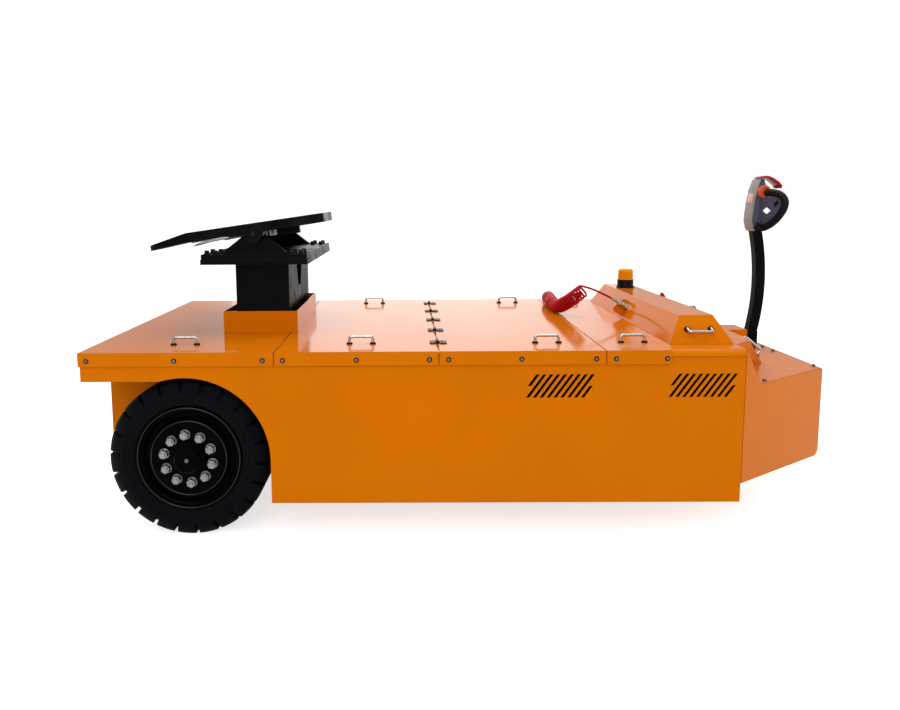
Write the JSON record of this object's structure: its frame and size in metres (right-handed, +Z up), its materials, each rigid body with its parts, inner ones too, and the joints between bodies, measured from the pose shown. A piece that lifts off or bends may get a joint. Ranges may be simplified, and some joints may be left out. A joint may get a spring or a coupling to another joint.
{
  "type": "electric tow tractor",
  "caption": "Low flat-decked electric tow tractor with a lifting, tilting trailer coupling over the rear axle and a walk-along tiller at its nose.",
  "frame": {"origin": "on the floor, under the middle of the overall length and width", "axes": "+X towards the nose and tiller, +Y to the left side, +Z up"},
  "size_m": [3.222, 1.7, 1.508],
  "materials": {
    "orange_paint": "gloss powder coat",
    "black_paint": "semi-gloss black enamel",
    "tyre_rubber": "matt solid rubber",
    "bright_steel": "zinc-plated or bright steel",
    "grey_casting": "grey casting",
    "battery_case": "dark moulded case",
    "black_plastic": "moulded black",
    "grey_plastic": "moulded grey",
    "amber_lens": "clear amber moulding",
    "red_plastic": "moulded red",
    "orange_plastic": "moulded orange",
    "red_hose": "glossy red polyurethane tube"
  },
  "bodies": {
    "chassis": {"chassis_frame": "orange_paint", "post_guide": "black_paint", "turret_plate": "orange_paint", "belly_plate": "orange_paint", "left_skirt": "orange_paint", "right_skirt": "orange_paint", "rear_panel": "orange_paint", "rear_cover": "orange_paint", "mid_cover": "orange_paint", "front_cover": "orange_paint", "pedestal_collar": "orange_paint", "hump_cover": "orange_paint", "hood_panels": "orange_paint", "nose_walls": "orange_paint", "nose_panel": "orange_paint", "tiller_housing": "orange_paint", "deck_handles": "bright_steel", "hinge_leaves_fixed": "black_paint", "beacon_base": "black_plastic", "beacon_lens": "amber_lens", "stop_button": "red_plastic", "key_switch": "grey_plastic", "battery_block": "battery_case", "rear_axle": "black_paint", "drive_motor": "grey_casting", "hose_bracket": "orange_paint", "hose_fitting": "bright_steel", "hose_lead": "red_hose", "hose_coil": "red_hose", "hose_tail": "red_hose", "hose_coupling": "bright_steel"},
    "lid": {"lid": "orange_paint", "lid_handles": "bright_steel", "hinge_leaves_moving": "black_paint"},
    "lift": {"lift_post": "black_paint", "base_plate": "black_paint", "saddles": "black_paint"},
    "coupler": {"coupler_plate": "black_paint", "lock_jaw": "bright_steel", "release_handle": "bright_steel"},
    "left_wheel": {"left_tyre": "tyre_rubber", "left_rim": "black_paint"},
    "right_wheel": {"right_tyre": "tyre_rubber", "right_rim": "black_paint"},
    "turret": {"steer_fork": "black_paint"},
    "drive_wheel": {"steer_tyre": "tyre_rubber", "steer_hub": "grey_casting"},
    "swivel": {"tiller_swivel": "black_paint"},
    "tiller": {"tiller_arm": "black_paint", "tiller_head": "black_plastic", "head_shell": "grey_plastic", "throttle_knobs": "orange_plastic", "belly_switch": "red_plastic", "tiller_grips": "black_plastic"}
  },
  "joints": [
    {"name": "left_wheel_spin", "type": "hinge", "parent": "chassis", "child": "left_wheel", "pos_m": [-1.184, 0.693, 0.335], "axis": [0, 1, 0], "continuous": true},
    {"name": "right_wheel_spin", "type": "hinge", "parent": "chassis", "child": "right_wheel", "pos_m": [-1.184, -0.693, 0.335], "axis": [0, 1, 0], "continuous": true},
    {"name": "turret_steer", "type": "hinge", "parent": "chassis", "child": "turret", "pos_m": [0.849, 0, 0.44], "axis": [0, 0, 1], "range_deg": [-80, 80]},
    {"name": "drive_wheel_spin", "type": "hinge", "parent": "turret", "child": "drive_wheel", "pos_m": [0.849, 0, 0.165], "axis": [0, 1, 0], "continuous": true},
    {"name": "tiller_steer", "type": "hinge", "parent": "chassis", "child": "swivel", "pos_m": [1.485, 0, 0.72], "axis": [0, 0, 1], "range_deg": [-80, 80]},
    {"name": "tiller_fold", "type": "hinge", "parent": "swivel", "child": "tiller", "pos_m": [1.485, 0, 0.72], "axis": [0, 1, 0], "range_deg": [0, 75], "stiffness_Nm_per_rad": 40, "springref_deg": -28.65},
    {"name": "coupling_lift", "type": "slide", "parent": "chassis", "child": "lift", "axis": [0, 0, 1], "range_m": [-0.2, 0.05]},
    {"name": "coupling_tilt", "type": "hinge", "parent": "lift", "child": "coupler", "pos_m": [-0.959, 0, 1.255], "axis": [0, 1, 0], "range_deg": [0, 20]},
    {"name": "lid_hinge", "type": "hinge", "parent": "chassis", "child": "lid", "pos_m": [-0.138, 0, 0.798], "axis": [0, -1, 0], "range_deg": [0, 100]}
  ],
  "couplings": [
    {"joint": "tiller_steer", "follows": "turret_steer", "ratio": 1}
  ]
}
